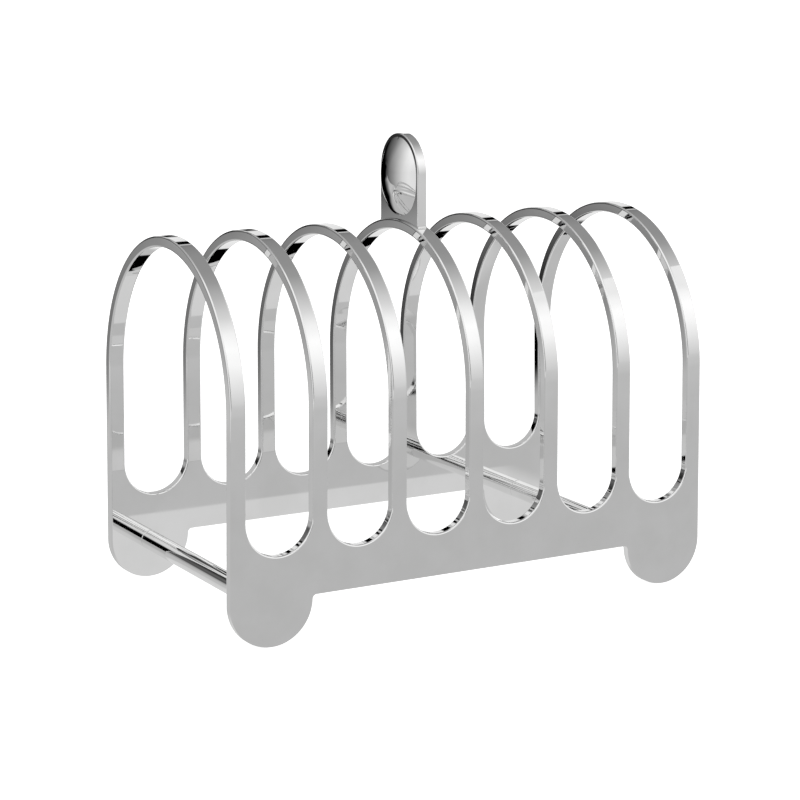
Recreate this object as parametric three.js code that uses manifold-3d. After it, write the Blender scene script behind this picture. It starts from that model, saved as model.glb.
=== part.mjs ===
// Six-slice toast rack in polished metal, in millimetres with +Z up.
//
// X runs along the row of slices and Y across them. The rack stands on z = 0
// with its middle over the origin. One sheet is pierced with six long slots and
// bent over into a tunnel, which leaves seven arches between two side plates.
// Two round tie rods brace the plates and a domed handle stands on the middle arch.

import * as THREE from 'three';
import { mergeVertices } from 'three/addons/utils/BufferGeometryUtils.js';
import Module from 'manifold-3d';

const wasm = await Module();
wasm.setup();

// ---------------------------------------------------------------- dimensions

const ARCH_COUNT = 7;
const ARCH_PITCH = 25;
const ARCH_WIDTH = 4.7;
const SHEET = 3;

const LENGTH = (ARCH_COUNT - 1) * ARCH_PITCH + ARCH_WIDTH;
const HALF_DEPTH = 42.3;
const HEIGHT = 108.5;

// Each arch is straight up to the spring line and half an ellipse above it.
const SPRING_Z = 64.8;
const CROWN_STEPS = 32;

// The outer arches lean in a little: from the plates' lower edges up to the crown,
// the row of arches gets shorter by this share.
const CROWN_TAPER = 0.017;

const FOOT_RADIUS = 12.6;
const FOOT_STEPS = 15;
const PLATE_EDGE_Z = 13.1;

const SLOT_WIDTH = ARCH_PITCH - ARCH_WIDTH;
const SLOT_LOW_Z = 25.4;
const SLOT_STEPS = 16;

const ROD_DIAMETER = 5.8;
const ROD_X = LENGTH / 2 - FOOT_RADIUS;
const ROD_Z = 11.3;
const ROD_SIDES = 32;

const HANDLE_WIDTH = 22;
const HANDLE_THICKNESS = 3;
const HANDLE_TOP_Z = 133.5;
const HANDLE_STEPS = 24;

// The oval dome on each face of the handle: half of its width and height, and
// how far it stands out of the face.
const DOME_HALF_WIDTH = 10.8;
const DOME_HALF_HEIGHT = 11.9;
const DOME_RISE = 4.2;
const DOME_Z = 121.2;
const DOME_RINGS = 6;
const DOME_SIDES = 40;

// How far a solid that cuts or joins reaches past the surface that it meets.
const OVERSHOOT = 10;
const OVERLAP = 0.5;

// ------------------------------------------------------------------ material

const polishedMetal = new THREE.MeshStandardMaterial({
  color: 0xdcdcda,
  metalness: 1,
  roughness: 0.06,
});

// ------------------------------------------------------------ solid geometry

// A closed geometry as a manifold solid, with its shared corners merged.
function toSolid(geometry) {
  geometry.deleteAttribute('normal');
  geometry.deleteAttribute('uv');
  const merged = mergeVertices(geometry);
  return new wasm.Manifold(new wasm.Mesh({
    numProp: 3,
    vertProperties: merged.attributes.position.array,
    triVerts: Uint32Array.from(merged.index.array),
  }));
}

// A manifold solid as a geometry.
function toGeometry(solid) {
  const mesh = solid.getMesh();
  const geometry = new THREE.BufferGeometry();
  geometry.setAttribute('position', new THREE.BufferAttribute(mesh.vertProperties, 3));
  geometry.setIndex(new THREE.BufferAttribute(mesh.triVerts, 1));
  geometry.computeVertexNormals();
  return geometry;
}

// A shape drawn in (y, z), extruded along X and centred on x = 0.
function extrudeAlongX(shape, length) {
  const geometry = new THREE.ExtrudeGeometry(shape, { depth: length, bevelEnabled: false });
  const yAxis = new THREE.Vector3(0, 1, 0);
  const zAxis = new THREE.Vector3(0, 0, 1);
  const xAxis = new THREE.Vector3(1, 0, 0);
  geometry.translate(0, 0, -length / 2);
  geometry.applyMatrix4(new THREE.Matrix4().makeBasis(yAxis, zAxis, xAxis));
  return toSolid(geometry);
}

// A shape drawn in (x, z), extruded along Y and centred on y = 0.
function extrudeAlongY(shape, length) {
  const geometry = new THREE.ExtrudeGeometry(shape, { depth: length, bevelEnabled: false });
  geometry.translate(0, 0, -length / 2);
  geometry.rotateX(Math.PI / 2);
  return toSolid(geometry);
}

// Points in equal steps on a circular arc, from one angle to the other.
function arcPoints(centreX, centreY, radius, from, to, steps) {
  const points = [];
  for (let step = 0; step <= steps; step += 1) {
    const angle = from + ((to - from) * step) / steps;
    const x = centreX + radius * Math.cos(angle);
    const y = centreY + radius * Math.sin(angle);
    points.push(new THREE.Vector2(x, y));
  }
  return points;
}

// --------------------------------------------------------------- sheet metal

// The crown in (y, z), from y = -HALF_DEPTH over the top to y = +HALF_DEPTH. The
// inset is square to the curve, so the sheet is equally thick all the way round.
function crownPoints(inset) {
  const rise = HEIGHT - SPRING_Z;
  const points = [];
  for (let step = 0; step <= CROWN_STEPS; step += 1) {
    const angle = Math.PI * (1 - step / CROWN_STEPS);
    const across = Math.cos(angle);
    const up = Math.sin(angle);
    const normal = new THREE.Vector2(across / HALF_DEPTH, up / rise).normalize();
    const point = new THREE.Vector2(across * HALF_DEPTH, SPRING_Z + up * rise);
    points.push(point.addScaledVector(normal, -inset));
  }
  return points;
}

// The bent sheet in (y, z): an upside-down U whose legs run on below the feet.
function sheetSection() {
  const innerHalfDepth = HALF_DEPTH - SHEET;
  return new THREE.Shape([
    new THREE.Vector2(-HALF_DEPTH, -OVERSHOOT),
    ...crownPoints(0),
    new THREE.Vector2(HALF_DEPTH, -OVERSHOOT),
    new THREE.Vector2(innerHalfDepth, -OVERSHOOT),
    ...crownPoints(SHEET).reverse(),
    new THREE.Vector2(-innerHalfDepth, -OVERSHOOT),
  ]);
}

// The outline of the whole sheet in (x, z): a straight lower edge between two
// round feet, each with a small flat in its middle at z = 0 to stand on.
function plateOutline() {
  const end = LENGTH / 2;
  const top = HEIGHT + OVERSHOOT;
  const footX = end - FOOT_RADIUS;
  const footZ = FOOT_RADIUS * Math.cos(Math.PI / (2 * FOOT_STEPS));
  return new THREE.Shape([
    new THREE.Vector2(-end, top),
    ...arcPoints(-footX, footZ, FOOT_RADIUS, -Math.PI, 0, FOOT_STEPS),
    new THREE.Vector2(-end + 2 * FOOT_RADIUS, PLATE_EDGE_Z),
    new THREE.Vector2(end - 2 * FOOT_RADIUS, PLATE_EDGE_Z),
    ...arcPoints(footX, footZ, FOOT_RADIUS, -Math.PI, 0, FOOT_STEPS),
    new THREE.Vector2(end, top),
  ]);
}

// The cutter of one slot in (x, z): round at its low end and open over the crown.
function slotOutline(centreX) {
  const radius = SLOT_WIDTH / 2;
  const endZ = SLOT_LOW_Z + radius;
  const top = HEIGHT + OVERSHOOT;
  return new THREE.Shape([
    new THREE.Vector2(centreX - radius, top),
    ...arcPoints(centreX, endZ, radius, -Math.PI, 0, SLOT_STEPS),
    new THREE.Vector2(centreX + radius, top),
  ]);
}

// Draws the arches together towards x = 0, evenly from the plates' lower edges up.
function taperTowardsCrown(geometry) {
  const position = geometry.attributes.position;
  for (let i = 0; i < position.count; i += 1) {
    const height = Math.max(0, position.getZ(i) - PLATE_EDGE_Z);
    const share = CROWN_TAPER * (height / (HEIGHT - PLATE_EDGE_Z));
    position.setX(i, position.getX(i) * (1 - share));
  }
  return geometry;
}

function makeRackBody() {
  const cutLength = 2 * (HALF_DEPTH + OVERSHOOT);
  const tunnel = extrudeAlongX(sheetSection(), LENGTH + 2 * OVERSHOOT);
  let body = tunnel.intersect(extrudeAlongY(plateOutline(), cutLength));
  for (let slot = 0; slot < ARCH_COUNT - 1; slot += 1) {
    const centreX = (slot - (ARCH_COUNT - 2) / 2) * ARCH_PITCH;
    body = body.subtract(extrudeAlongY(slotOutline(centreX), cutLength));
  }
  return taperTowardsCrown(toGeometry(body));
}

// ------------------------------------------------------------------ tie rods

// A round rod along Y that meets the inner faces of both side plates.
function makeTieRod() {
  const length = 2 * (HALF_DEPTH - SHEET);
  return new THREE.CylinderGeometry(ROD_DIAMETER / 2, ROD_DIAMETER / 2, length, ROD_SIDES);
}

// -------------------------------------------------------------------- handle

// The upright plate in (y, z): straight sides and a round top. Its foot reaches
// into the crown of the arch, which is cut away from it afterwards.
function handleOutline() {
  const radius = HANDLE_WIDTH / 2;
  const footZ = HEIGHT - OVERSHOOT;
  return new THREE.Shape([
    new THREE.Vector2(-radius, footZ),
    new THREE.Vector2(radius, footZ),
    ...arcPoints(0, HANDLE_TOP_Z - radius, radius, 0, Math.PI, HANDLE_STEPS),
  ]);
}

// A dome with its axis along X, on the handle's face at +X (side = 1) or -X
// (side = -1). Its section is a parabola.
function handleDome(side) {
  const profile = [new THREE.Vector2(0, -OVERLAP), new THREE.Vector2(1, -OVERLAP)];
  for (let ring = 0; ring <= DOME_RINGS; ring += 1) {
    const angle = (Math.PI / 2) * (ring / DOME_RINGS);
    profile.push(new THREE.Vector2(Math.cos(angle), DOME_RISE * Math.sin(angle) ** 2));
  }
  const geometry = new THREE.LatheGeometry(profile, DOME_SIDES);
  geometry.scale(DOME_HALF_WIDTH, 1, DOME_HALF_HEIGHT);
  geometry.rotateZ(-side * (Math.PI / 2));
  geometry.translate((side * HANDLE_THICKNESS) / 2, 0, DOME_Z);
  return toSolid(geometry);
}

function makeHandle() {
  const crown = new THREE.Shape([
    ...crownPoints(0),
    new THREE.Vector2(HALF_DEPTH, 0),
    new THREE.Vector2(-HALF_DEPTH, 0),
  ]);
  const plate = extrudeAlongX(handleOutline(), HANDLE_THICKNESS);
  const handle = plate.add(handleDome(1)).add(handleDome(-1));
  return toGeometry(handle.subtract(extrudeAlongX(crown, ARCH_WIDTH + 2 * OVERSHOOT)));
}

// ------------------------------------------------------------------ assembly

function addPiece(group, name, geometry, x, z) {
  const piece = new THREE.Mesh(geometry, polishedMetal);
  piece.name = name;
  piece.position.set(x, 0, z);
  group.add(piece);
}

const toastRack = new THREE.Group();
addPiece(toastRack, 'rack_body', makeRackBody(), 0, 0);
addPiece(toastRack, 'tie_rod_left', makeTieRod(), -ROD_X, ROD_Z);
addPiece(toastRack, 'tie_rod_right', makeTieRod(), ROD_X, ROD_Z);
addPiece(toastRack, 'handle', makeHandle(), 0, 0);

export default toastRack;
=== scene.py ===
"""A six-slice toast rack in polished metal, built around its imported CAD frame.

X runs along the row of slices, Y across them and Z up, in metres. The sheet body, the two
tie rods and the handle are smooth meshes with rounded edges, which stand for the CAD nodes.
"""

import math

import bmesh
import bpy
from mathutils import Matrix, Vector


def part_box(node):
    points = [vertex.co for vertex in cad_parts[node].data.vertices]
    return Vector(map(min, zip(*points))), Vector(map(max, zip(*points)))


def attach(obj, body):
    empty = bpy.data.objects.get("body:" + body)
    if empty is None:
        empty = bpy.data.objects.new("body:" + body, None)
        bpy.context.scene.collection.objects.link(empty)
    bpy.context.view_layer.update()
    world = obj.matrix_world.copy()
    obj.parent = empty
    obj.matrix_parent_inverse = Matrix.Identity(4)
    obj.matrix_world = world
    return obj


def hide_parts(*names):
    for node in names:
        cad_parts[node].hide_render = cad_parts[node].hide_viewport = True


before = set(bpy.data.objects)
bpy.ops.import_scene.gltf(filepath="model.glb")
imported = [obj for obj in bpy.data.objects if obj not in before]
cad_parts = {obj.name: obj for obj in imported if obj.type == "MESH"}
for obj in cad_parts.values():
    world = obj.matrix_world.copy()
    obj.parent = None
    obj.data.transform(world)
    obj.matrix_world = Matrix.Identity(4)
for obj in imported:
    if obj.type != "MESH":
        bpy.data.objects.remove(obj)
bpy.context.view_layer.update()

# ------------------------------------------------------------------ dimensions

BODY_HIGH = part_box("rack_body")[1]
HANDLE_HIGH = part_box("handle")[1]

ARCH_COUNT = 7
ARCH_PITCH = 0.025
ARCH_WIDTH = 0.0047
SHEET = 0.003

HALF_LENGTH = BODY_HIGH.x
HALF_DEPTH = BODY_HIGH.y
HEIGHT = BODY_HIGH.z

# Each arch is straight up to the spring line and half an ellipse above it.
SPRING_Z = 0.0648
CROWN_RISE = HEIGHT - SPRING_Z
CROWN_STEPS = 72

# The row of arches gets shorter by this share, from the plates' lower edges to the crown.
CROWN_TAPER = 0.017

FOOT_RADIUS = 0.0126
FOOT_STEPS = 40
PLATE_EDGE_Z = 0.0131
CORNER_RADIUS = 0.0012
CORNER_STEPS = 8

SLOT_RADIUS = (ARCH_PITCH - ARCH_WIDTH) / 2
SLOT_LOW_Z = 0.0254
SLOT_CENTRE_Z = SLOT_LOW_Z + SLOT_RADIUS
SLOT_STEPS = 40
LEG_STEPS = 4

EDGE_RADIUS = 0.00055
EDGE_STEPS = 4

ROD_SIDES = 64
ROD_STEPS = 12
ROD_EDGE = 0.00025

HANDLE_HALF_WIDTH = HANDLE_HIGH.y
HANDLE_HALF_THICKNESS = 0.0015
HANDLE_TOP_Z = HANDLE_HIGH.z
HANDLE_EDGE = 0.0004
HANDLE_STEPS = 64
HANDLE_SIDE_STEPS = 12
HANDLE_FOOT_STEPS = 24

# How far the handle's foot reaches below the surface of the arch.
HANDLE_SINK = 0.0005

DOME_HALF_WIDTH = 0.0108
DOME_HALF_HEIGHT = 0.0119
DOME_RISE = HANDLE_HIGH.x - HANDLE_HALF_THICKNESS
DOME_Z = 0.1212
DOME_RINGS = 24

# The dome stays inside this share of the face, and the higher the blend, the closer its
# rim follows first its own oval and then the face's edge.
DOME_MARGIN = 0.985
DOME_BLEND = 12

# ------------------------------------------------------------------ mesh tools


class Shell:
    """Vertices with their own normals, and faces between them."""

    def __init__(self):
        self.points = []
        self.normals = []
        self.faces = []

    def vertex(self, point, normal):
        self.points.append(Vector(point))
        self.normals.append(Vector(normal).normalized())
        return len(self.points) - 1

    def strip(self, row_a, row_b):
        """Quads between two rows of the same number of vertices."""
        for i in range(len(row_a) - 1):
            self.faces.append((row_a[i], row_a[i + 1], row_b[i + 1], row_b[i]))

    def build(self, name):
        """The shell as an object that is shaded with the vertices' own normals."""
        mesh = bpy.data.meshes.new(name)
        mesh.from_pydata([tuple(p) for p in self.points], [], self.faces)
        editable = bmesh.new()
        editable.from_mesh(mesh)
        bmesh.ops.recalc_face_normals(editable, faces=editable.faces)
        for face in editable.faces:
            face.smooth = True
        editable.to_mesh(mesh)
        editable.free()
        mesh.normals_split_custom_set_from_vertices([tuple(n) for n in self.normals])
        mesh.validate()
        shape = bpy.data.objects.new(name, mesh)
        bpy.context.scene.collection.objects.link(shape)
        return shape


def arc_angles(start, end, steps):
    return [start + (end - start) * step / steps for step in range(steps + 1)]


def edge_profile(thickness, radius):
    """A rounded sheet edge as (inset, depth, share of face normal, share of edge normal)."""
    profile = []
    for angle in arc_angles(0, math.pi / 2, EDGE_STEPS):
        inset = radius * (1 - math.sin(angle))
        depth = radius * (1 - math.cos(angle))
        profile.append((inset, depth, math.cos(angle), math.sin(angle)))
    mirrored = [(i, thickness - d, -face, edge) for i, d, face, edge in reversed(profile)]
    return profile + mirrored


# ------------------------------------------------------------------- rack body


def plate_station(side, z):
    """A level on the near (side -1) or far (side 1) plate: y, z and the outward normal."""
    return side * HALF_DEPTH, z, side, 0


def crown_station(angle):
    """A place on the crown, from the near spring line at 0 to the far one at pi."""
    across, up = -math.cos(angle), math.sin(angle)
    normal = Vector((across / HALF_DEPTH, up / CROWN_RISE)).normalized()
    return across * HALF_DEPTH, SPRING_Z + up * CROWN_RISE, normal.x, normal.y


def plate_edge(side):
    """The lower edge of one plate, from its -X end to its +X end, as (x, station, edge normal)."""
    foot_x = HALF_LENGTH - FOOT_RADIUS
    corner_dz = PLATE_EDGE_Z - CORNER_RADIUS - FOOT_RADIUS
    reach = FOOT_RADIUS + CORNER_RADIUS
    corner_dx = math.sqrt(reach**2 - corner_dz**2)
    meeting = math.atan2(corner_dz, corner_dx)
    half = []
    for angle in arc_angles(-math.pi, meeting, FOOT_STEPS):
        out = (math.cos(angle), math.sin(angle))
        half.append((FOOT_RADIUS * out[0], FOOT_RADIUS + FOOT_RADIUS * out[1], *out))
    for angle in arc_angles(math.pi + meeting, math.pi / 2, CORNER_STEPS)[1:]:
        out = (math.cos(angle), math.sin(angle))
        x = corner_dx + CORNER_RADIUS * out[0]
        z = PLATE_EDGE_Z - CORNER_RADIUS + CORNER_RADIUS * out[1]
        half.append((x, z, -out[0], -out[1]))
    left = [(x - foot_x, z, nx, nz) for x, z, nx, nz in half]
    right = [(-x, z, -nx, nz) for x, z, nx, nz in reversed(left)]
    return [(x, plate_station(side, z), (nx, nz)) for x, z, nx, nz in left + right]


def slot_end(side, centre_x):
    """The round end of one slot, from its -X side to its +X side."""
    points = []
    for angle in arc_angles(-math.pi, 0, SLOT_STEPS):
        out = (math.cos(angle), math.sin(angle))
        z = SLOT_CENTRE_Z + SLOT_RADIUS * out[1]
        points.append((centre_x + SLOT_RADIUS * out[0], plate_station(side, z), (-out[0], -out[1])))
    return points


def arch_side(x, edge_x):
    """One long side of an arch, from the near slot ends' level over the crown to the far one."""
    levels = [SLOT_CENTRE_Z + (SPRING_Z - SLOT_CENTRE_Z) * i / LEG_STEPS for i in range(LEG_STEPS)]
    stations = [plate_station(-1, z) for z in levels]
    stations += [crown_station(a) for a in arc_angles(0, math.pi, CROWN_STEPS)]
    stations += [plate_station(1, z) for z in reversed(levels)]
    return [(x, station, (edge_x, 0)) for station in stations]


def edge_rows(shell, points, profile):
    """Adds the rounded edge along these points and returns its rows of vertices."""
    rows = []
    for x, (y, z, ny, nz), (edge_x, edge_z) in points:
        face_normal = Vector((0, ny, nz))
        edge_normal = Vector((edge_x, 0, edge_z))
        row = []
        for inset, depth, face_share, edge_share in profile:
            place = Vector((x, y, z)) - inset * edge_normal - depth * face_normal
            row.append(shell.vertex(place, face_share * face_normal + edge_share * edge_normal))
        rows.append(row)
    for row_a, row_b in zip(rows, rows[1:]):
        shell.strip(row_a, row_b)
    return rows


def taper(shell):
    """Draws the arches together towards x = 0, evenly from the plates' lower edges up."""
    rate = CROWN_TAPER / (HEIGHT - PLATE_EDGE_Z)
    for point, normal in zip(shell.points, shell.normals):
        share = rate * max(0.0, point.z - PLATE_EDGE_Z)
        if share > 0:
            normal.z += normal.x * point.x * rate / (1 - share)
            normal.x /= 1 - share
            normal.normalize()
        point.x *= 1 - share


def centred(index, count):
    """The place along X of one of this many arches or slots, in a row about x = 0."""
    return (index - (count - 1) / 2) * ARCH_PITCH


def add_plate(shell, profile, side, end, left_sides, right_sides):
    """Adds one side plate: its lower edge, the round ends of its slots and its two faces."""
    edge = edge_rows(shell, plate_edge(side), profile)
    shell.strip(edge[0], left_sides[0][end])
    shell.strip(edge[-1], right_sides[-1][end])
    rim = [left_sides[0][end], *edge, right_sides[-1][end]]
    for slot in reversed(range(ARCH_COUNT - 1)):
        arc = edge_rows(shell, slot_end(side, centred(slot, ARCH_COUNT - 1))[1:-1], profile)
        shell.strip(arc[0], right_sides[slot][end])
        shell.strip(arc[-1], left_sides[slot + 1][end])
        rim += [left_sides[slot + 1][end], *reversed(arc), right_sides[slot][end]]
    for face in (0, -1):
        shell.faces.append(tuple(row[face] for row in rim))


def make_body():
    """The whole sheet: the seven arches, and the plate at each end of them."""
    shell = Shell()
    profile = edge_profile(SHEET, EDGE_RADIUS)
    left_sides, right_sides = [], []
    for arch in range(ARCH_COUNT):
        centre = centred(arch, ARCH_COUNT)
        left_sides.append(edge_rows(shell, arch_side(centre - ARCH_WIDTH / 2, -1), profile))
        right_sides.append(edge_rows(shell, arch_side(centre + ARCH_WIDTH / 2, 1), profile))
    for left, right in zip(left_sides, right_sides):
        for face in (0, -1):
            shell.strip([row[face] for row in left], [row[face] for row in right])
    add_plate(shell, profile, -1, 0, left_sides, right_sides)
    add_plate(shell, profile, 1, -1, left_sides, right_sides)
    taper(shell)
    return shell.build("body_sheet")


# --------------------------------------------------------------------- tie rods


def rod_rings(half, radius):
    """The rod's rings as (place along Y, radius, normal's share outwards, share along Y)."""
    rings = []
    for angle in arc_angles(0, math.pi / 2, EDGE_STEPS):
        inset = ROD_EDGE * (1 - math.sin(angle))
        along = -half + ROD_EDGE * (1 - math.cos(angle))
        rings.append((along, radius - inset, math.sin(angle), -math.cos(angle)))
    end_rings = list(rings)
    span = 2 * (half - ROD_EDGE)
    for step in range(1, ROD_STEPS):
        rings.append((-half + ROD_EDGE + span * step / ROD_STEPS, radius, 1, 0))
    rings += [(-y, r, out, -along) for y, r, out, along in reversed(end_rings)]
    return rings


def make_rod(name, node):
    """A round rod along Y. Its ends are slightly rounded, so each joint is a fine groove."""
    low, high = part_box(node)
    centre = (low + high) / 2
    shell = Shell()
    rows = []
    for y, ring_radius, out, along in rod_rings(high.y - centre.y, (high.z - low.z) / 2):
        row = []
        for side in range(ROD_SIDES):
            angle = 2 * math.pi * side / ROD_SIDES
            spoke = Vector((math.cos(angle), 0, math.sin(angle)))
            place = Vector((centre.x, centre.y + y, centre.z)) + ring_radius * spoke
            row.append(shell.vertex(place, out * spoke + Vector((0, along, 0))))
        rows.append(row + row[:1])
    for row_a, row_b in zip(rows, rows[1:]):
        shell.strip(row_a, row_b)
    shell.faces.append(tuple(rows[0][:-1]))
    shell.faces.append(tuple(rows[-1][:-1]))
    return shell.build(name)


# ----------------------------------------------------------------------- handle


def crown_height(y):
    """The height of the middle arch's outer surface at y."""
    return SPRING_Z + CROWN_RISE * math.sqrt(1 - (y / HALF_DEPTH) ** 2)


def handle_outline():
    """The upright plate's outline in (y, z) with its outward normals, anticlockwise from +Y.

    Its foot follows the crown of the arch, a little below the surface.
    """
    centre_z = HANDLE_TOP_Z - HANDLE_HALF_WIDTH
    points = []
    for angle in arc_angles(0, math.pi, HANDLE_STEPS):
        out = (math.cos(angle), math.sin(angle))
        points.append((HANDLE_HALF_WIDTH * out[0], centre_z + HANDLE_HALF_WIDTH * out[1], *out))
    foot_z = crown_height(HANDLE_HALF_WIDTH) - HANDLE_SINK
    for step in range(1, HANDLE_SIDE_STEPS):
        z = centre_z + (foot_z - centre_z) * step / HANDLE_SIDE_STEPS
        points.append((-HANDLE_HALF_WIDTH, z, -1, 0))
    for step in range(HANDLE_FOOT_STEPS + 1):
        y = HANDLE_HALF_WIDTH * (2 * step / HANDLE_FOOT_STEPS - 1)
        points.append((y, crown_height(y) - HANDLE_SINK, 0, -1))
    for step in range(1, HANDLE_SIDE_STEPS):
        z = foot_z + (centre_z - foot_z) * step / HANDLE_SIDE_STEPS
        points.append((HANDLE_HALF_WIDTH, z, 1, 0))
    return points


def dome_radius(y, z):
    """The distance from the dome's middle to its rim, in the direction of (y, z)."""
    length = math.hypot(y, z)
    return 1 / math.hypot(y / length / DOME_HALF_WIDTH, z / length / DOME_HALF_HEIGHT)


def make_handle():
    shell = Shell()
    outline = handle_outline()
    profile = edge_profile(2 * HANDLE_HALF_THICKNESS, HANDLE_EDGE)
    rows = []
    for y, z, ny, nz in outline:
        edge_normal = Vector((0, ny, nz))
        row = []
        for inset, depth, face_share, edge_share in profile:
            place = Vector((HANDLE_HALF_THICKNESS - depth, y, z)) - inset * edge_normal
            normal = Vector((face_share, 0, 0)) + edge_share * edge_normal
            row.append(shell.vertex(place, normal))
        rows.append(row)
    rows.append(rows[0])
    for row_a, row_b in zip(rows, rows[1:]):
        shell.strip(row_a, row_b)
    for side, face in ((1, 0), (-1, -1)):
        make_handle_face(shell, side, [row[face] for row in rows[:-1]])
    return shell.build("handle_plate")


def dome_reach(offset):
    """From the dome's middle to its rim, towards a point on the face's edge at this offset."""
    direction = offset.normalized()
    room = DOME_MARGIN * offset.length
    oval = dome_radius(direction.y, direction.z)
    reach = (room**-DOME_BLEND + oval**-DOME_BLEND) ** (-1 / DOME_BLEND)
    return reach * direction


def dome_ring(shell, side, centre, reaches, share):
    """Adds the ring of the dome that lies at this share of the way to its rim."""
    rise = Vector((side * DOME_RISE * (1 - share**2), 0, 0))
    ring = []
    for i, reach in enumerate(reaches):
        outward = Vector((-2 * side * DOME_RISE * share, reach.y, reach.z))
        around = share * (reaches[(i + 1) % len(reaches)] - reaches[i - 1])
        normal = outward.cross(around)
        normal *= side if normal.x > 0 else -side
        ring.append(shell.vertex(centre + rise + share * reach, normal))
    return ring


def make_handle_face(shell, side, rim):
    """The flat face inside this rim of vertices, with the dome that stands on it.

    The dome is highest in its middle and falls to nothing at its own rim, which is oval
    and stays inside the rim of the face.
    """
    centre = Vector((side * HANDLE_HALF_THICKNESS, 0, DOME_Z))
    reaches = []
    for index in rim:
        offset = shell.points[index] - centre
        offset.x = 0
        reaches.append(dome_reach(offset))
    previous = [shell.vertex(centre + reach, (side, 0, 0)) for reach in reaches]
    shell.strip(rim + rim[:1], previous + previous[:1])
    for step in range(DOME_RINGS, 0, -1):
        share = math.sin(math.pi / 2 * step / DOME_RINGS)
        ring = dome_ring(shell, side, centre, reaches, share)
        shell.strip(previous + previous[:1], ring + ring[:1])
        previous = ring
    top = shell.vertex(centre + Vector((side * DOME_RISE, 0, 0)), (side, 0, 0))
    for i, index in enumerate(previous):
        shell.faces.append((index, previous[(i + 1) % len(previous)], top))


# -------------------------------------------------------------------- materials


class Nodes:
    """Short ways to add linked nodes to one node tree."""

    def __init__(self, tree):
        self.tree = tree

    def add(self, kind, **settings):
        """A new node of this kind with these settings."""
        node = self.tree.nodes.new(kind)
        for name, value in settings.items():
            setattr(node, name, value)
        return node

    def feed(self, socket, value):
        """Links an output to this input, or sets the input to a plain value."""
        if isinstance(value, bpy.types.NodeSocket):
            self.tree.links.new(value, socket)
        else:
            socket.default_value = value

    def math(self, operation, *values):
        node = self.add("ShaderNodeMath", operation=operation)
        for socket, value in zip(node.inputs, values):
            self.feed(socket, value)
        return node.outputs[0]

    def smooth(self, value, low, high, at_low=0.0, at_high=1.0):
        """Goes smoothly from at_low to at_high as value goes from low to high."""
        node = self.add("ShaderNodeMapRange", interpolation_type="SMOOTHSTEP")
        for name, setting in zip(("Value", "From Min", "From Max", "To Min", "To Max"),
                                 (value, low, high, at_low, at_high)):
            self.feed(node.inputs[name], setting)
        return node.outputs["Result"]

    def fade(self, value, rise, fall):
        """Goes from 0 to 1 between the two ends of rise, and back between those of fall."""
        return self.math("MULTIPLY", self.smooth(value, *rise), self.smooth(value, *fall, 1.0, 0.0))

    def near(self, value, middle, full, end):
        """Is 1 within this distance of the middle, and falls to 0 at the end distance."""
        distance = self.math("ABSOLUTE", self.math("ADD", value, -middle))
        return self.smooth(distance, full, end, 1.0, 0.0)

    def product(self, first, *others):
        for other in others:
            first = self.math("MULTIPLY", first, other)
        return first

    def place(self, coordinates):
        """The X, Y and Z outputs of one kind of texture coordinates."""
        split = self.add("ShaderNodeSeparateXYZ")
        self.feed(split.inputs[0], self.add("ShaderNodeTexCoord").outputs[coordinates])
        return (split.outputs[axis] for axis in "XYZ")

    def curve(self, value, points):
        """A level looked up on straight lines between (value, level) points."""
        low, high = points[0][0], points[-1][0]
        share = self.math("DIVIDE", self.math("SUBTRACT", value, low), high - low)
        node = self.add("ShaderNodeValToRGB")
        elements = node.color_ramp.elements
        while len(elements) > 1:
            elements.remove(elements[-1])
        for i, (place, level) in enumerate(points):
            position = (place - low) / (high - low)
            element = elements[0] if i == 0 else elements.new(position)
            element.position = position
            element.color = (level, level, level, 1)
        self.feed(node.inputs["Fac"], share)
        return node.outputs["Color"]

    def noise(self, place, scale, detail):
        """Noise between 0 and 1, with this many features in a metre along each axis."""
        mapping = self.add("ShaderNodeMapping")
        mapping.inputs["Scale"].default_value = scale
        self.feed(mapping.inputs["Vector"], place)
        texture = self.add("ShaderNodeTexNoise")
        texture.inputs["Scale"].default_value = 1
        texture.inputs["Detail"].default_value = detail
        self.feed(texture.inputs["Vector"], mapping.outputs["Vector"])
        return texture.outputs["Fac"]

    def bump(self, height, distance, normal=None):
        """A bumped normal, from heights between 0 and this distance in metres."""
        node = self.add("ShaderNodeBump")
        node.inputs["Strength"].default_value = 1
        node.inputs["Distance"].default_value = distance
        self.feed(node.inputs["Height"], height)
        if normal:
            self.feed(node.inputs["Normal"], normal)
        return node.outputs["Normal"]

    def blend(self, share, first, second):
        """The first value where share is 0 and the second where it is 1."""
        node = self.add("ShaderNodeMix", data_type="FLOAT")
        self.feed(node.inputs[0], share)
        self.feed(node.inputs[2], first)
        self.feed(node.inputs[3], second)
        return node.outputs[0]


# Features in a metre along each axis. The polishing lines run up and down.
HAZE_SCALE = (90, 90, 90)
LINE_SCALE = (2600, 2600, 70)
WAVE_SCALE = (38, 38, 26)

METAL_DARK = (0.845, 0.845, 0.842, 1)
METAL_LIGHT = (0.885, 0.885, 0.885, 1)
LINE_ROUGHNESS = 0.03
HAZE_ROUGHNESS = (0.010, 0.035)
WAVE_HEIGHT = 0.000018
LINE_HEIGHT = 0.0000004


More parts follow.
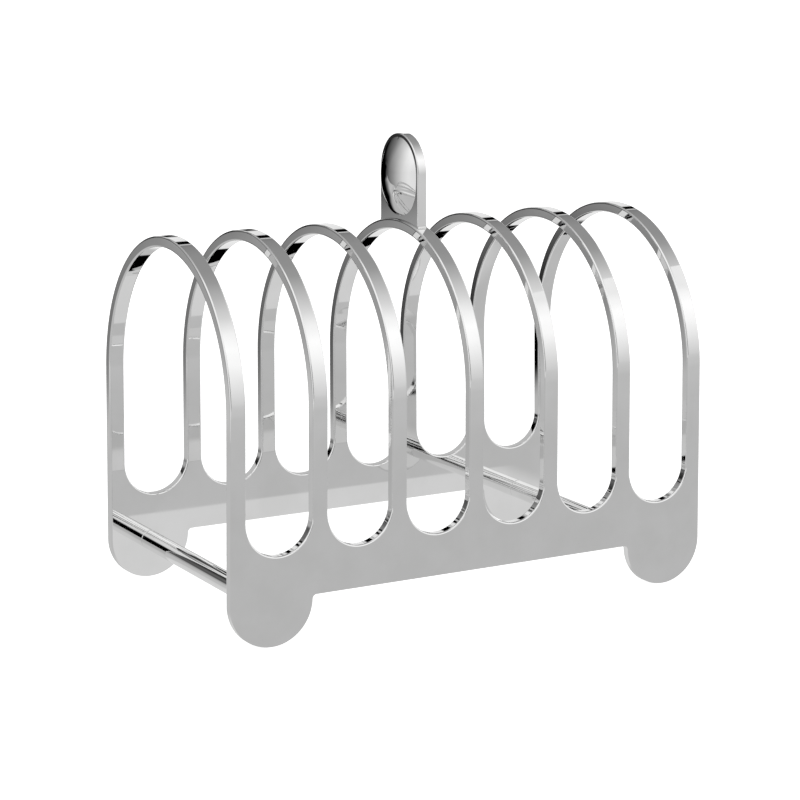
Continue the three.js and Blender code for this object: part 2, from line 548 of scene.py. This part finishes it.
def polished_metal():
    """Mirror-polished metal: faint waves, fine polishing lines up and down, and soft haze."""
    material = bpy.data.materials.new("polished_metal")
    material.use_nodes = True
    nodes = Nodes(material.node_tree)
    shader = material.node_tree.nodes["Principled BSDF"]
    place = nodes.add("ShaderNodeTexCoord").outputs["Object"]
    haze = nodes.noise(place, HAZE_SCALE, 4)
    lines = nodes.noise(place, LINE_SCALE, 3)
    waves = nodes.noise(place, WAVE_SCALE, 1)
    tint = nodes.add("ShaderNodeValToRGB")
    tint.color_ramp.elements[0].color = METAL_DARK
    tint.color_ramp.elements[1].color = METAL_LIGHT
    nodes.feed(tint.inputs["Fac"], nodes.smooth(haze, 0.3, 0.7))
    nodes.feed(shader.inputs["Base Color"], tint.outputs["Color"])
    shader.inputs["Metallic"].default_value = 1
    streaks = nodes.smooth(lines, 0.35, 0.75, 0.0, LINE_ROUGHNESS)
    smudges = nodes.smooth(haze, 0.45, 0.75, *HAZE_ROUGHNESS)
    nodes.feed(shader.inputs["Roughness"], nodes.math("ADD", streaks, smudges))
    wave_bump = nodes.bump(waves, WAVE_HEIGHT)
    nodes.feed(shader.inputs["Normal"], nodes.bump(lines, LINE_HEIGHT, wave_bump))
    return material


# ------------------------------------------------------------------------ stage


# The camera sees a plain pale floor and backdrop. The metal sees a studio of its own, made
# of the world and of the flat shapes below, which show in reflections only. Its levels of
# light were set from the brightness of the reflections in the photograph.

FLOOR_HALF_SIZE = 8
FLOOR_GLOW = 0.7
BACKDROP_RADIUS = 7
BACKDROP_HEIGHT = 6
BACKDROP_SIDES = 48

# The dark card stands behind the rack: its ends along X and Z, where its cover fades in
# and out, and its level along X.
CARD_Y = 0.27
CARD_X = (-0.21, 0.10)
CARD_Z = (0.05, 0.18)
CARD_RISE_X, CARD_FALL_X = (-0.21, -0.16), (0.085, 0.10)
CARD_RISE_Z, CARD_FALL_Z = (0.06, 0.085), (0.14, 0.18)
CARD_LEVELS = [(-0.21, 0.12), (-0.16, 0.04), (-0.13, 0.0), (0.10, 0.0)]

# The table in reflections: its corners, and its level along Y in front of and behind the rack.
TABLE_Z = -0.0005
TABLE_CORNERS = [(-0.36, -1.2), (0.9, -1.2), (0.9, 1.4), (-0.9, 1.4), (-0.36, 0.35)]
TABLE_FRONT = [
    (-1.2, 0.68), (-0.4, 0.6), (-0.2, 0.52), (-0.05, 0.53), (0.06, 0.56), (0.3, 0.48),
]
TABLE_BACK = [(0.2, 0.60), (0.3, 0.56), (0.45, 0.44), (0.8, 0.42)]
TABLE_TURN_Y = (0.19, 0.25)

# The light strip of table under the rack.
STRIP_RISE_Y, STRIP_FALL_Y = (-0.0335, -0.0305), (0.04, 0.05)
STRIP_MIDDLE_X = 0.01
STRIP_FALL_X = (0.085, 0.10)
STRIP_LIFT = 0.16

# The back of the table is lit up to a slanting edge: its slope and offset in X over Y, and
# where its light starts to fall and has gone.
SLANT, SLANT_X = 0.43, 0.08
SLANT_START_Y = (0.2, 0.4)
SLANT_START = (0.02, -0.08)
SLANT_END = 0.12

# The white part behind the rack, to the right of a line that leans this much in X over Y.
WHITE_LEAN = 0.3
WHITE_RISE_X = (-0.045, -0.035)
WHITE_RISE_Y = (0.095, 0.105)
WHITE_LEVEL = 0.87

# The dark band across the table behind the rack.
BAND_RISE_Y, BAND_FALL_Y = (0.075, 0.080), (0.108, 0.116)
BAND_RISE_X, BAND_FALL_X = (-0.06, -0.05), (0.15, 0.17)

# The slanting shade: its two edges in (y, z), its ends in x, and the level of its underside.
SHADE_LOW_EDGE = (0.082, 0.0002)
SHADE_HIGH_EDGE = (0.0432, 0.031)
SHADE_X = (-0.06, 0.17)
SHADE_GREY = 0.55

# The studio around the rack, seen along the row of arches: the angle goes up from the
# front horizon at 0, over the top at 90, to the back horizon at 180, and below it back to
# the front at -180 to 0. Each pair is an angle in degrees and a level of light.
AROUND = [
    (-180, 0.86), (-134, 0.86), (-104, 0.60), (-84, 0.50), (-74, 0.60), (-60, 0.66),
    (-50, 0.60), (-42, 0.54), (-20, 0.52), (-4, 0.68), (8, 0.86), (24, 1.08), (36, 1.15),
    (48, 1.02), (60, 0.76), (76, 0.54), (92, 0.36), (104, 0.32), (124, 0.305), (138, 0.26),
    (143.5, 0.22), (144, 0.84), (145.8, 0.84), (146, 0.0), (152.2, 0.0), (152.4, 0.78),
    (156, 0.86), (180, 0.88),
]

# The same on the left, by compass angle from the back at 0 to the front at -180, and what
# is added to it by height above the horizon.
LEFT = [
    (-180, 0.60), (-130, 0.75), (-104, 0.84), (-98, 0.86), (-86, 0.74), (-80, 0.63), (-74, 0.53),
    (-68, 0.44), (-62, 0.35), (-56, 0.285), (-50, 0.23), (-44, 0.18), (-38, 0.11),
    (-32, 0.06), (-26, 0.02), (-20, 0.0), (0, 0.0),
]
LEFT_ABOVE = [(0, 0), (12, 0.075), (24, 0.19), (36, 0.38), (60, 0.38), (90, 0.38)]
LEFT_BELOW_LEVEL = 0.50
PALE_LEVEL = 0.86
SOFT_BOX_LEVEL = 0.95


def glow_material(name, level=0.0):
    """A material that only glows, with its nodes and the node that sets its level."""
    material = bpy.data.materials.new(name)
    material.use_nodes = True
    tree = material.node_tree
    tree.nodes.clear()
    nodes = Nodes(tree)
    emission = nodes.add("ShaderNodeEmission")
    emission.inputs["Color"].default_value = (level, level, level, 1)
    output = nodes.add("ShaderNodeOutputMaterial")
    tree.links.new(emission.outputs[0], output.inputs[0])
    return material, nodes, emission


def flat_shape(name, corners):
    shell = Shell()
    normal = (corners[1] - corners[0]).cross(corners[2] - corners[1])
    shell.faces.append(tuple(shell.vertex(corner, normal) for corner in corners))
    return shell.build(name)


def make_floor():
    """The plain pale floor, which doesn't show in the metal's reflections."""
    size = FLOOR_HALF_SIZE
    corners = [(-size, -size, 0), (size, -size, 0), (size, size, 0), (-size, size, 0)]
    floor = flat_shape("studio_floor", [Vector(corner) for corner in corners])
    material = bpy.data.materials.new("pale_floor")
    material.use_nodes = True
    shader = material.node_tree.nodes["Principled BSDF"]
    shader.inputs["Base Color"].default_value = (0.9, 0.9, 0.9, 1)
    shader.inputs["Roughness"].default_value = 1
    shader.inputs["Specular IOR Level"].default_value = 0
    shader.inputs["Emission Color"].default_value = (1, 1, 1, 1)
    shader.inputs["Emission Strength"].default_value = FLOOR_GLOW
    floor.data.materials.append(material)
    floor.visible_glossy = False


def make_backdrop():
    """A plain pale wall far around the floor, which only the camera sees."""
    shell = Shell()
    rows = []
    for z in (0, BACKDROP_HEIGHT):
        row = []
        for side in range(BACKDROP_SIDES):
            angle = 2 * math.pi * side / BACKDROP_SIDES
            inward = Vector((-math.cos(angle), -math.sin(angle), 0))
            row.append(shell.vertex(-BACKDROP_RADIUS * inward + Vector((0, 0, z)), inward))
        rows.append(row + row[:1])
    shell.strip(*rows)
    wall = shell.build("backdrop")
    wall.data.materials.append(glow_material("backdrop", 1)[0])
    wall.visible_glossy = False
    wall.visible_diffuse = False
    wall.visible_shadow = False


def reflect_only(shape, material):
    """Gives a part of the studio its material, and keeps it out of all but reflections."""
    shape.data.materials.append(material)
    shape.visible_camera = False
    shape.visible_diffuse = False
    shape.visible_shadow = False


def make_dark_card():
    """A dark card behind the rack, graded at its left end, with soft edges."""
    (left, right), (low, high) = CARD_X, CARD_Z
    corners = [(left, low), (right, low), (right, high), (left, high)]
    card = flat_shape("dark_card", [Vector((x, CARD_Y, z)) for x, z in corners])
    material, nodes, emission = glow_material("dark_card")
    x, _, z = nodes.place("Object")
    nodes.feed(emission.inputs["Color"], nodes.curve(x, CARD_LEVELS))
    cover = nodes.product(
        nodes.fade(x, CARD_RISE_X, CARD_FALL_X),
        nodes.fade(z, CARD_RISE_Z, CARD_FALL_Z),
    )
    mix = nodes.add("ShaderNodeMixShader")
    nodes.feed(mix.inputs[0], cover)
    nodes.feed(mix.inputs[1], nodes.add("ShaderNodeBsdfTransparent").outputs[0])
    nodes.feed(mix.inputs[2], emission.outputs[0])
    nodes.feed(material.node_tree.nodes["Material Output"].inputs[0], mix.outputs[0])
    reflect_only(card, material)


def table_front(nodes, x, y):
    """The table's level in front of the rack and under it."""
    side = nodes.math("ABSOLUTE", nodes.math("SUBTRACT", x, STRIP_MIDDLE_X))
    strip = nodes.product(
        nodes.fade(y, STRIP_RISE_Y, STRIP_FALL_Y),
        nodes.smooth(side, *STRIP_FALL_X, STRIP_LIFT, 0.0),
    )
    return nodes.math("ADD", nodes.curve(y, TABLE_FRONT), strip)


def table_back(nodes, x, y):
    """The table's level behind the rack, lit up to a slanting edge."""
    slant = nodes.math("ADD", nodes.math("MULTIPLY", y, SLANT), nodes.math("ADD", x, SLANT_X))
    start = nodes.smooth(y, *SLANT_START_Y, *SLANT_START)
    lit = nodes.smooth(slant, start, SLANT_END, 1.0, 0.0)
    return nodes.math("MULTIPLY", nodes.curve(y, TABLE_BACK), lit)


def make_table():
    """The table in reflections: grey in front, dark behind on the left, white on the right."""
    corners = [Vector((x, y, TABLE_Z)) for x, y in TABLE_CORNERS]
    table = flat_shape("table_reflection", corners)
    material, nodes, emission = glow_material("table_reflection")
    x, y, _ = nodes.place("Object")
    turn = nodes.smooth(y, *TABLE_TURN_Y)
    level = nodes.blend(turn, table_front(nodes, x, y), table_back(nodes, x, y))
    leaning = nodes.math("SUBTRACT", x, nodes.math("MULTIPLY", y, WHITE_LEAN))
    white = nodes.product(nodes.smooth(leaning, *WHITE_RISE_X), nodes.smooth(y, *WHITE_RISE_Y))
    level = nodes.blend(white, level, WHITE_LEVEL)
    band = nodes.product(
        nodes.fade(y, BAND_RISE_Y, BAND_FALL_Y),
        nodes.fade(x, BAND_RISE_X, BAND_FALL_X),
    )
    nodes.feed(emission.inputs["Color"], nodes.blend(band, level, 0.0))
    reflect_only(table, material)


def make_shade():
    """A slanting shade behind the rack: black above, where the crowns see it, and grey below."""
    left, right = SHADE_X
    corners = [
        (left, *SHADE_LOW_EDGE), (right, *SHADE_LOW_EDGE),
        (right, *SHADE_HIGH_EDGE), (left, *SHADE_HIGH_EDGE),
    ]
    shade = flat_shape("shade", [Vector(corner) for corner in corners])
    material, nodes, emission = glow_material("shade")
    underneath = nodes.add("ShaderNodeNewGeometry").outputs["Backfacing"]
    nodes.feed(emission.inputs["Color"], nodes.math("MULTIPLY", underneath, SHADE_GREY))
    reflect_only(shade, material)


def world_left(nodes, compass, height, y):
    """The world's level to the left of the rack, by compass angle and height in degrees."""
    above = nodes.curve(height, LEFT_ABOVE)
    low_grey = nodes.product(
        nodes.fade(compass, (-33.5, -31.0), (-20, -16)),
        nodes.smooth(height, 2, 8, 0.38, 0.0),
    )
    side = nodes.math("ADD", nodes.curve(compass, LEFT), nodes.math("ADD", above, low_grey))
    side = nodes.math("MINIMUM", side, 1.0)
    below = nodes.smooth(height, -40, -20, 1.0, 0.0)
    level = nodes.blend(below, side, LEFT_BELOW_LEVEL)
    dark_gap = nodes.product(
        nodes.fade(height, (24.5, 26), (33, 35)),
        nodes.smooth(compass, -19, -17),
    )
    level = nodes.blend(dark_gap, level, 0.0)
    pale = nodes.product(
        nodes.smooth(height, 24.5, 28),
        nodes.smooth(compass, -8, -5),
        nodes.smooth(y, 0.0, 0.1),
    )
    level = nodes.blend(pale, level, PALE_LEVEL)
    dark_patch = nodes.product(nodes.near(compass, -157.0, 6, 10), nodes.near(height, 3.0, 13, 18))
    return nodes.blend(dark_patch, level, 0.0)


def world_right(nodes, around, x):
    """The world's level over and to the right of the rack, with the edge of the soft box."""
    edge = nodes.math("MULTIPLY", nodes.math("ADD", x, -0.53), 260.0)
    edge = nodes.math("ADD", edge, 58.0)
    soft_box = nodes.product(
        nodes.smooth(nodes.math("SUBTRACT", edge, around), 0, 1.0),
        nodes.smooth(around, 44, 54),
        nodes.smooth(x, 0.49, 0.52),
    )
    return nodes.blend(soft_box, nodes.curve(around, AROUND), SOFT_BOX_LEVEL)


def make_world():
    """The studio far around the rack, by direction. X, Y and Z here are a direction's own."""
    world = bpy.data.worlds.new("studio")
    bpy.context.scene.world = world
    world.use_nodes = True
    nodes = Nodes(world.node_tree)
    x, y, z = nodes.place("Generated")
    degrees = 180 / math.pi
    front = nodes.math("MULTIPLY", y, -1.0)
    around = nodes.math("MULTIPLY", nodes.math("ARCTAN2", z, front), degrees)
    compass = nodes.math("MULTIPLY", nodes.math("ARCTAN2", x, y), degrees)
    height = nodes.math("MULTIPLY", nodes.math("ARCSINE", z), degrees)
    start = nodes.product(nodes.smooth(height, 8, 16, 0.28, 0.0), nodes.smooth(y, 0.0, 0.1))
    share = nodes.smooth(nodes.math("SUBTRACT", x, start), 0.0, 0.1)
    level = nodes.blend(share, world_left(nodes, compass, height, y), world_right(nodes, around, x))
    background = world.node_tree.nodes["Background"]
    nodes.feed(background.inputs["Color"], level)
    background.inputs["Strength"].default_value = 1


# ----------------------------------------------------------------------- camera

CAMERA_PLACE = (-0.36421, -0.64577, 0.21164)
CAMERA_DOWN = 0.2087
CAMERA_TURN = -0.5122
CAMERA_SENSOR = 36
CAMERA_LENS = 115.6


def make_camera():
    camera = bpy.data.objects.new("camera", bpy.data.cameras.new("camera"))
    bpy.context.scene.collection.objects.link(camera)
    camera.location = CAMERA_PLACE
    camera.rotation_euler = (math.pi / 2 - CAMERA_DOWN, 0, CAMERA_TURN)
    camera.data.sensor_width = CAMERA_SENSOR
    camera.data.lens = CAMERA_LENS
    bpy.context.scene.camera = camera


# ------------------------------------------------------------------------- make

metal = polished_metal()
pieces = [
    (make_body(), "rack_body", "sheet"),
    (make_rod("tie_rod_left_round", "tie_rod_left"), "tie_rod_left", "rod"),
    (make_rod("tie_rod_right_round", "tie_rod_right"), "tie_rod_right", "rod"),
    (make_handle(), "handle", "handle"),
]
for piece, node, slot in pieces:
    piece.data.materials.append(metal)
    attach(piece, "root")
    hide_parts(node)

make_floor()
make_dark_card()
make_table()
make_shade()
make_backdrop()
make_world()
make_camera()
bpy.context.scene.view_settings.view_transform = "Standard"
